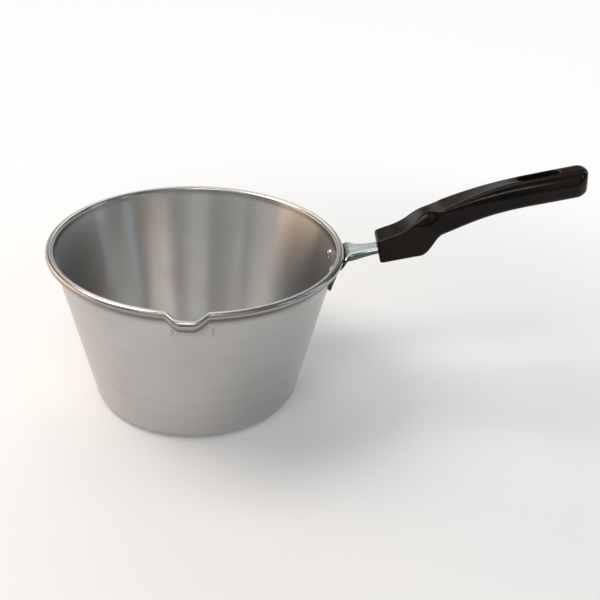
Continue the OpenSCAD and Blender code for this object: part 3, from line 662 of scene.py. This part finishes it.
def bracketStations():
    # middle line of the sheet: point, angle, half width, fold depth, share of the pan's curve
    b = bracket
    plateCuts, bendCuts, hookCuts, kinkCuts, shankCuts, tangCuts = b["cuts"]
    rootDir = polar(1, b["rootSlope"])
    hookUp = polar(1, b["hookSlope"] + 90)
    shankDir = polar(1, b["shankSlope"])
    footUp = polar(1, b["footSlope"] + 90)
    bendLeg = b["bendR"] * math.tan(math.radians((90 - wallTilt - b["rootSlope"]) / 2))
    bendMid = plateFoot + wallUp * bendAt + rootDir * bendLeg - rootUp * b["bendR"]
    kinkMid = rollMid - hookUp * (hookR + b["kinkR"])
    kinkPoint = kinkMid + footUp * b["kinkR"]
    front = rollMid + Vector((pan["bead"] / 2 + b["frontGap"], b["frontUp"]))
    span = front - kinkPoint
    footRise = span.x * math.tan(math.radians(b["footSlope"]))
    frontRise = span.x * math.tan(math.radians(b["shankSlope"]))
    foldBend = min(b["fold"], b["bendR"] - b["sheet"] / 2 - b["foldClear"])
    kinkRun = span.length + b["kinkR"] * math.radians(b["hookSlope"] - b["footSlope"])
    plateLow = bendAt + b["sheet"] - b["plateHeight"]
    plateTall = bendAt - bendLeg - plateLow
    upright = 90 - wallTilt

    def flare(d):
        # half width at a distance from the handle
        k = min(max(d - b["neck"], 0), b["flareR"])
        wide = b["shankWidth"] / 2 + b["flareR"] - math.sqrt(b["flareR"] ** 2 - k * k)
        return min(b["hookWidth"] / 2, wide)

    def plateHalf(h):
        # half width at a height above the foot of the plate
        k = max(0, b["plateCorner"] - h)
        rounded = b["plateWidth"] / 2 - b["plateCorner"] + math.sqrt(b["plateCorner"] ** 2 - k * k)
        shoulder = ease((plateTall - h) / b["shoulder"])
        return min(rounded, mix(b["rootWidth"] / 2, b["plateWidth"] / 2, shoulder))

    def shankAt(k):
        # middle line from the rim to the handle: point and slope
        rise = k * (1 - k) ** 2 * footRise + k * k * (3 - 2 * k) * span.y - k * k * (1 - k) * frontRise
        slope = (1 - k) * (1 - 3 * k) * footRise + 6 * k * (1 - k) * span.y + k * (3 * k - 2) * frontRise
        return kinkPoint + Vector((span.x * k, rise)), math.degrees(math.atan2(slope, span.x))

    stations = []
    cornerCuts = [b["plateCorner"] * (1 - math.cos(math.radians(90 * k))) for k in steps(plateCuts)]
    cornerCuts[0] = b["plateStart"]
    for h in cornerCuts + [mix(b["plateCorner"], plateTall, k) for k in steps(plateCuts)[1:-1]]:
        depth = mix(b["foldFoot"], foldBend, h / plateTall)
        stations.append((plateFoot + wallUp * (plateLow + h), upright, plateHalf(h), depth, 1))
    for k in steps(bendCuts):
        turn = mix(upright, b["rootSlope"], k)
        stations.append((bendMid + polar(b["bendR"], turn + 90), turn, b["rootWidth"] / 2, foldBend, 1))
    for k in steps(hookCuts):
        turn = mix(b["rootSlope"], b["hookSlope"], k)
        wide = mix(b["rootWidth"] / 2, flare(kinkRun), ease(b["hookEase"] * k))
        depth = mix(foldBend, b["foldHook"], k)
        stations.append((rollMid + polar(hookR, turn - 90), turn, wide, depth, mix(1, b["hookCurve"], k)))
    for k in steps(kinkCuts)[1:]:
        turn = mix(b["hookSlope"], b["footSlope"], k)
        wide = flare(mix(kinkRun, span.length, k))
        depth = mix(b["foldHook"], b["foldRoot"], k)
        curve = mix(b["hookCurve"], b["footCurve"], k)
        stations.append((kinkMid + polar(b["kinkR"], turn + 90), turn, wide, depth, curve))
    for k in steps(shankCuts)[1:]:
        point, slope = shankAt(k)
        depth = mix(b["foldRoot"], b["fold"], ease(k))
        stations.append((point, slope, flare(span.length * (1 - k)), depth, b["footCurve"] * (1 - ease(k))))
    for k in steps(tangCuts)[1:]:
        point = front + shankDir * b["tang"] * k
        stations.append((point, b["shankSlope"], b["shankWidth"] / 2, b["fold"], 0))
    return stations


def sheetFace(half, depth, inset):
    # one face across the folded sheet: side, fold, flat, fold, side
    foldCuts, flatCuts = bracket["sectionCuts"]
    t = bracket["sheet"]
    outer = min(bracket["foldR"], t + depth - bracket["foldSide"])
    r = outer - inset
    low = -t / 2 - depth
    y = half - outer
    z = t / 2 - outer
    left = [Vector((-y, z)) + polar(r, 180 - 90 * k) for k in steps(foldCuts)]
    flat = [Vector((mix(-y, y, k), z + r)) for k in steps(flatCuts)[1:-1]]
    right = [Vector((y, z)) + polar(r, 90 - 90 * k) for k in steps(foldCuts)]
    return [Vector((inset - half, low))] + left + flat + right + [Vector((half - inset, low))]


def bracketMesh():
    b = bracket
    shadeStart, shadeFull = b["shadeCurve"]
    rings = []
    foldShade = []
    for middle, turn, half, depth, curve in bracketStations():
        up = polar(1, turn + 90)
        ring = []
        for p in sheetFace(half, depth, 0) + sheetFace(half, depth, b["sheet"])[::-1]:
            q = middle + up * p.y
            onWall = math.sqrt(q.x * q.x - p.x * p.x)
            ring.append((mix(q.x, onWall, curve), p.x, q.y))
            # painted shade on the folds, and over the whole sheet where it lies on the wall
            side = ease((b["sheet"] / 2 - b["shadeFrom"] - p.y) / b["shadeDepth"])
            foldShade.append(max(side, ease((curve - shadeStart) / (shadeFull - shadeStart))))
        rings.append(ring)
    mesh = meshFrom("bracket", *loft(rings))
    mesh.attributes.new("foldShade", "FLOAT", "POINT").data.foreach_set("value", foldShade)
    return mesh


addPiece("bracket", bracketMesh(), bracket["sharp"], bracketMetal, "handle_bracket")


# rivets: one turned shape, set twice on the wall

rivets = dict(
    pitch=23.6,
    below=4.6,      # under the bend of the bracket
    shank=4,
    head=6.4,
    dome=1.9,       # inner head
    button=1.3,     # outer head
    gap=0.1,
    headCuts=16,    # from the tip of a head to its edge
    sections=40,
    sharp=50,       # degrees
)


def rivetProfile():
    # from the tip of the inner head, along Z, to the tip of the outer one
    r = rivets
    half = r["head"] / 2
    paintedLightInside = -pan["sheet"] - r["gap"]
    outer = bracket["seatGap"] + bracket["sheet"] + r["gap"]

    def cap(height, foot, side):
        ball = (half * half + height * height) / (2 * height)
        span = math.asin(half / ball)
        return [(ball * math.sin(span * k), foot + side * (height - ball + ball * math.cos(span * k)))
                for k in steps(r["headCuts"])]

    shank = [(r["shank"] / 2, paintedLightInside), (r["shank"] / 2, outer)]
    return lineFrom("rivet_profile", cap(r["dome"], paintedLightInside, -1) + shank + cap(r["button"], outer, 1)[::-1])


def rivetTree():
    tree, add, given = newTree("set two rivets on a wall", (
        "Geometry", "Sections", "Radius", "Height", "Half Turn", "Lean", "Material"))
    turned = add("GeometryNodeGroup", {
        "Geometry": given["Geometry"], "Sections": given["Sections"]}, node_tree=turning)
    places = add("GeometryNodePoints", {"Count": 2})
    index = add("GeometryNodeInputIndex")
    side = add("ShaderNodeMapRange", {0: index, 3: -1.0, 4: 1.0})
    turn = add("ShaderNodeMath", [side, given["Half Turn"]], "MULTIPLY")
    start = add("ShaderNodeCombineXYZ", {0: given["Radius"], 2: given["Height"]})
    at = add("ShaderNodeVectorRotate", {"Vector": start, "Angle": turn}, rotation_type="Z_AXIS")
    placed = add("GeometryNodeSetPosition", {0: places, "Position": at})
    aim = add("ShaderNodeCombineXYZ", {1: given["Lean"], 2: turn})
    rotation = add("FunctionNodeEulerToRotation", [aim])
    pair = add("GeometryNodeInstanceOnPoints", {"Points": placed, "Instance": turned, "Rotation": rotation})
    endTree(add, pair, given["Material"])
    return tree


rivetAt = panFoot + wallUp * (bendAt - rivets["below"])  # on the outside of the wall
rivetMesh = bake("rivets", rivetProfile(), rivetTree(), {
    "Sections": rivets["sections"], "Radius": rivetAt.x * mm, "Height": rivetAt.y * mm,
    "Half Turn": math.asin(rivets["pitch"] / 2 / rivetAt.x), "Lean": math.radians(90 + wallTilt),
    "Material": rivetMetal})
addPiece("rivets", rivetMesh, rivets["sharp"], rivetMetal, "bracket_rivets")


# handle: one moulding, lofted along the front axis, with a hanging slot and a socket for the shank

slotMount = [m for m in frame["record"]["mounts"] if m["name"] == "hang_slot"][0]
handle = dict(
    length=130,
    slope=bracket["shankSlope"],
    rise=19.2,
    riseLength=94,
    blockHeight=14.6,
    blockWidth=19,
    blockLength=32.5,
    stepLength=15,
    gripThick=15.6,
    gripWidth=22,
    scoop=1.7,
    scoopAt=15.4,
    crest=2.1,
    crestAt=32,
    crestLength=23.5,
    belly=1,         # of the underside, behind the step
    bellyAt=41,
    bellyLength=60,
    frontR=2.6,      # upright edges at the front face
    blockEdge=1.6,
    leastEdge=0.5,   # what an edge keeps at both ends
    crownWidth=8.5,  # rounding of the grip's upper edges
    crownDepth=9,
    underEdge=4.4,
    edgeAt=24,       # where the upper edges start to grow rounder
    edgeLength=66,
    cheekWidth=4,    # cut into both upper edges beside the crest
    cheekDepth=8,
    cheekAt=32.8,
    cheekLength=22,
    cheekFlat=0.45,  # share of a cheek that is flat
    cheekEase=3,     # how early it is flat
    endR=4.4,
    endFlat=0.02,    # from the last whole section to the tip
    endShares=(0.9, 0.7, 0.5, 0.3, 0.15),  # of that section, drawn to its middle to close the end
    endLean=1.6,
    endCrown=5,      # bulge of the end between its sides
    endBow=0.5,      # and between top and underside
    faceShare=0.7,   # of the ends' rounding that top and underside take
    slotLength=25,
    slotWidth=7,
    slotAt=101,
    slotRound=0.9,
    socketWidth=13,
    socketTop=1.55,
    socketFloor=-1.75,
    socketDepth=23.2,
    screwAt=15,
    screwBore=4.4,
    headBore=8.0,
    headSeat=-4.0,
    cutPast=1,       # of a cutter beyond the face that it enters by
    slotPast=3,
    cuts=(8, 150, 10),     # along the front edge, the body and the end
    sectionCuts=(12, 14),  # round an edge and across a face
    slotCuts=(6, 24),      # round the slot's rim and each of its ends
    boreCuts=48,
    sharp=50,        # degrees
)


# handle frame in the part's frame: X along the front axis, Z up from the handle
handleTurn = Matrix.Rotation(math.radians(-handle["slope"]), 4, "Y")
slotPlace = Matrix.Translation(Vector(slotMount["pos_m"]) / mm)
handleFrame = slotPlace @ handleTurn @ Matrix.Translation((-handle["slotAt"], 0, -handle["rise"]))


def bumpShape(k):
    return (1 + math.cos(math.pi * k)) / 2 if abs(k) < 1 else 0


def handleMiddle(u):
    return handle["rise"] * math.sin(math.pi / 2 * min(1, u / handle["riseLength"]))


def handleTop(u):
    thick = mix(handle["blockHeight"], handle["gripThick"], ease(u / handle["riseLength"]))
    dip = handle["scoop"] * bumpShape((u - handle["scoopAt"]) / handle["scoopAt"])
    hump = handle["crest"] * bumpShape((u - handle["crestAt"]) / (handle["crestLength"] / 2))
    return handleMiddle(u) + thick / 2 - dip + hump


def pastStep(u):
    return ease((u - handle["blockLength"]) / handle["stepLength"] + 0.5)


def handleLow(u):
    bulge = handle["belly"] * bumpShape((u - handle["bellyAt"]) / (handle["bellyLength"] / 2))
    return mix(-handle["blockHeight"] / 2, handleMiddle(u) - handle["gripThick"] / 2 - bulge, pastStep(u))


def handleHalf(u):
    k = ease((u - handle["blockLength"] / 2) / (handle["length"] - handle["blockLength"]))
    return mix(handle["blockWidth"], handle["gripWidth"], k) / 2


def drawIn(d, r):
    # how far a rounded edge of radius r draws in at a distance d from the face
    return r - math.sqrt(r * r - (r - d) ** 2) if d < r else 0


def edgeRun(half, width, depth, straight):
    # half a section: side, edge, flat face, edge, side
    edgeCuts, flatCuts = handle["sectionCuts"]
    edge = []
    for k in steps(edgeCuts):
        s = math.cos(math.radians(90 * k))
        drop = straight * s + (1 - straight) * (1 - math.sqrt(1 - s * s))
        edge.append((half - width * (1 - s), -depth * drop))
    flat = [((half - width) * math.cos(math.pi * k), 0) for k in steps(flatCuts)[1:-1]]
    return edge + flat + [(-y, z) for y, z in edge[::-1]]


def handleRing(u, share=1):
    # one section, or a share of it drawn to its middle
    h = handle
    endInset = drawIn(h["length"] - u, h["endR"])
    inset = drawIn(u, h["frontR"]) + endInset
    faceInset = h["faceShare"] * (drawIn(u, h["blockEdge"]) + endInset)
    half = handleHalf(u) - inset
    top = handleTop(u) - faceInset
    low = handleLow(u) + faceInset
    rounder = ease((u - h["edgeAt"]) / h["edgeLength"])
    wide = max(h["leastEdge"], mix(h["blockEdge"], h["crownWidth"], rounder) - inset)
    deep = max(h["leastEdge"], mix(h["blockEdge"], h["crownDepth"], rounder) - inset)
    under = max(h["leastEdge"], mix(h["blockEdge"], h["underEdge"], pastStep(u)) - inset)
    cheek = bumpShape((u - h["cheekAt"]) / (h["cheekLength"] / 2))
    straight = h["cheekFlat"] * ease(h["cheekEase"] * cheek)
    topEdge = edgeRun(half, wide + h["cheekWidth"] * cheek, deep + h["cheekDepth"] * cheek, straight)
    upper = [(y, top + z) for y, z in topEdge]
    lower = [(y, low - z) for y, z in edgeRun(half, under, under, 0)[::-1]]
    nearEnd = ease((u - h["slotAt"]) / (h["length"] - h["slotAt"]))
    middle = (top + low) / 2
    ring = []
    for y, z in upper + lower:
        y, z = y * share, mix(middle, z, share)
        back = h["endLean"] * (top - z) / h["gripThick"] + h["endCrown"] * (2 * y / h["gripWidth"]) ** 2
        back += h["endBow"] * (2 * (z - middle) / h["gripThick"]) ** 2
        ring.append((u - nearEnd * back, y, z))
    return ring


def tool(name, points, faces):
    # a blank or a cutter, from points in the handle's frame
    return addObject(name, meshFrom(name, [handleFrame @ Vector(p) for p in points], faces))


def slotCutter():
    h = handle
    rimCuts, endCuts = h["slotCuts"]
    straight = (h["slotLength"] - h["slotWidth"]) / 2
    top = handleTop(h["slotAt"])
    low = handleLow(h["slotAt"])
    r = h["slotRound"]
    levels = [(low - h["slotPast"], r)] + [(low + r * k, drawIn(r * k, r)) for k in steps(rimCuts)]
    levels += [(top - r * k, drawIn(r * k, r)) for k in steps(rimCuts)[::-1]] + [(top + h["slotPast"], r)]
    rings = []
    for z, wider in levels:
        radius = h["slotWidth"] / 2 + wider
        right = [Vector((h["slotAt"] + straight, 0)) + polar(radius, 180 * k - 90) for k in steps(endCuts)]
        left = [Vector((h["slotAt"] - straight, 0)) + polar(radius, 180 * k + 90) for k in steps(endCuts)]
        rings.append([(p.x, p.y, z) for p in right + left])
    return tool("slot_cutter", *prism(rings))


def socketCutter():
    h = handle
    half = h["socketWidth"] / 2
    low = h["socketFloor"]
    top = h["socketTop"]
    corners = [(-half, low), (half, low), (half, top), (-half, top)]
    rings = [[(u, y, z) for y, z in corners] for u in (-h["cutPast"], h["socketDepth"])]
    return tool("socket_cutter", *prism(rings))


def boreCutter():
    h = handle
    low = -h["blockHeight"] / 2
    levels = [(low - h["cutPast"], h["headBore"]), (h["headSeat"], h["headBore"]),
              (h["headSeat"], h["screwBore"]), (h["socketTop"] + h["cutPast"], h["screwBore"])]
    rings = []
    for z, across in levels:
        ring = [polar(across / 2, 360 * k) for k in steps(h["boreCuts"])[:-1]]
        rings.append([(h["screwAt"] + p.x, p.y, z) for p in ring])
    return tool("bore_cutter", *prism(rings))


def handleMesh():
    h = handle
    frontCuts, bodyCuts, endCuts = h["cuts"]
    front = [h["frontR"] * (1 - math.cos(math.radians(90 * k))) for k in steps(frontCuts)]
    body = [mix(h["frontR"], h["length"] - h["endR"], k) for k in steps(bodyCuts)[1:-1]]
    end = [h["length"] - h["endR"] * (1 - math.sin(math.radians(90 * k))) for k in steps(endCuts)]
    end[-1] = h["length"] - h["endFlat"]
    rings = [handleRing(u) for u in front + body + end]
    rings += [handleRing(end[-1], share) for share in h["endShares"]]
    blank = tool("handle_blank", *loft(rings))
    cutters = [slotCutter(), socketCutter(), boreCutter()]
    for cutter in cutters:
        cut = blank.modifiers.new("cut", "BOOLEAN")
        cut.operation = "DIFFERENCE"
        cut.solver = "EXACT"
        cut.object = cutter
    graph = bpy.context.evaluated_depsgraph_get()
    mesh = bpy.data.meshes.new_from_object(blank.evaluated_get(graph))
    mesh.name = "handle"
    for thing in [blank] + cutters:
        bpy.data.objects.remove(thing)
    return mesh


addPiece("handle", handleMesh(), handle["sharp"], handleResin, "handle_grip")


# screw and washer under the front block keep their solids

for node in ("handle_screw", "screw_washer"):
    thing = frame["nodes"][node]
    thing.data.materials.clear()
    thing.data.materials.append(screwMetal)
print("screw and washer finished")


# stage: pale floor, soft lamps and a white sweep

studio = dict(
    floorSize=6.0,            # m
    floorGap=0.0002,          # m, below the base
    floorColour="#F3F2F1",
    floorGlow=(0.15, 0.96),   # share of plain white that the eye and the metal see in the floor, near and far
    glowFrom=(0.14, 0.5),     # m from the glow's middle
    glowMiddle=(0.08, 0, 0),  # m
    lampAim=(0, 0, 0.06),     # m
    horizon=1.0,              # strength of the room low down
    ceiling=0.17,             # and above
    sweepFront=(0.03, 0.12),  # height of a heading at which the room begins and ends to darken, camera's side
    sweepBack=(0.12, 0.36),   # and behind the pan
    sweepTurn=(-0.2, 0.4),    # where a heading passes from one to the other
)

lamps = [
    # name, direction and height in degrees, distance, width and height in m, radiance, colour
    ("softbox left", 174, 56, 1.2, (0.7, 0.6), 6.0, "#FFF9F1"),
    ("tan board left", 172, 14, 1.1, (1.0, 0.42), 1.9, "#FFD0A2"),
    ("softbox front left", -122, 40, 1.15, (0.4, 0.5), 0.9, "#FFFFFF"),
    ("softbox front right", -58, 40, 1.15, (0.5, 0.5), 0.45, "#FFFFFF"),
    ("high front lamp", -104, 60, 1.2, (0.25, 0.25), 5.0, "#FFFFFF"),
    ("second high front lamp", -83, 60, 1.2, (0.25, 0.25), 6.0, "#FFFFFF"),
    ("softbox above the back", 100, 41, 1.2, (0.8, 0.46), 2.1, "#FFFFFF"),
    ("softbox overhead", 130, 76, 1.2, (0.9, 0.4), 1.7, "#FFFFFF"),
    ("cool strip right", 14, 33, 0.62, (0.022, 0.26), 10.0, "#C8E4FF"),
    ("cool strip front right", -16, 35, 0.62, (0.018, 0.26), 7.5, "#C8E4FF"),
]


def addFloor():
    material, add, place = newMaterial("pale studio floor")
    away = add("ShaderNodeVectorMath", [place, studio["glowMiddle"]], "DISTANCE")
    glow = add("ShaderNodeMapRange", [
        away, *studio["glowFrom"], *studio["floorGlow"]], interpolation_type="SMOOTHSTEP")
    # what the eye sees, straight or in metal
    path = add("ShaderNodeLightPath").outputs
    seen = add("ShaderNodeMath", [path["Is Camera Ray"], path["Is Glossy Ray"]], "MAXIMUM")
    share = add("ShaderNodeMath", [seen, glow], "MULTIPLY")
    paper = add("ShaderNodeBsdfDiffuse", {"Color": linear(studio["floorColour"])})
    white = add("ShaderNodeEmission", {"Color": (1, 1, 1, 1), "Strength": 1.0})
    both = add("ShaderNodeMixShader", [share, paper, white])
    add("ShaderNodeOutputMaterial", {"Surface": both})
    half = studio["floorSize"] / 2
    mesh = bpy.data.meshes.new("floor")
    corners = [(-half, -half, 0), (half, -half, 0), (half, half, 0), (-half, half, 0)]
    mesh.from_pydata(corners, [], [(0, 1, 2, 3)])
    mesh.materials.append(material)
    floor = addObject("floor", mesh)
    floor.location.z = cadBounds[0][2] - studio["floorGap"]


def addLamps():
    for name, around, up, distance, size, radiance, colour in lamps:
        data = bpy.data.lights.new(name, "AREA")
        data.shape = "RECTANGLE"
        data.size, data.size_y = size
        data.energy = radiance * math.pi * size[0] * size[1]
        data.color = linear(colour)[:3]
        lamp = addObject(name, data)
        level = polar(math.cos(math.radians(up)), around)
        away = Vector((level.x, level.y, math.sin(math.radians(up))))
        lamp.location = Vector(studio["lampAim"]) + away * distance
        lamp.rotation_euler = (-away).to_track_quat("-Z", "Y").to_euler()
        lamp.visible_camera = False


def addRoom():
    # a white sweep all round, high behind the pan and low on the camera's side, and grey above it
    world = bpy.data.worlds.new("room")
    world.use_nodes = True
    world.node_tree.nodes.clear()
    add = partial(addNode, world.node_tree)
    heading = add("ShaderNodeTexCoord").outputs["Generated"]
    parts = add("ShaderNodeSeparateXYZ", [heading]).outputs
    behind = add("ShaderNodeMapRange", [parts[1], *studio["sweepTurn"]], interpolation_type="SMOOTHSTEP")
    foot, top = [add("ShaderNodeMapRange", {0: behind, 3: front, 4: back})
                 for front, back in zip(studio["sweepFront"], studio["sweepBack"])]
    strength = add("ShaderNodeMapRange", [
        parts[2], top, foot, studio["ceiling"], studio["horizon"]], interpolation_type="SMOOTHSTEP")
    room = add("ShaderNodeBackground", {"Color": (1, 1, 1, 1), "Strength": strength})
    add("ShaderNodeOutputWorld", [room])
    scene.world = world


addFloor()
addLamps()
addRoom()
scene.view_settings.view_transform = "Standard"
print("stage set")
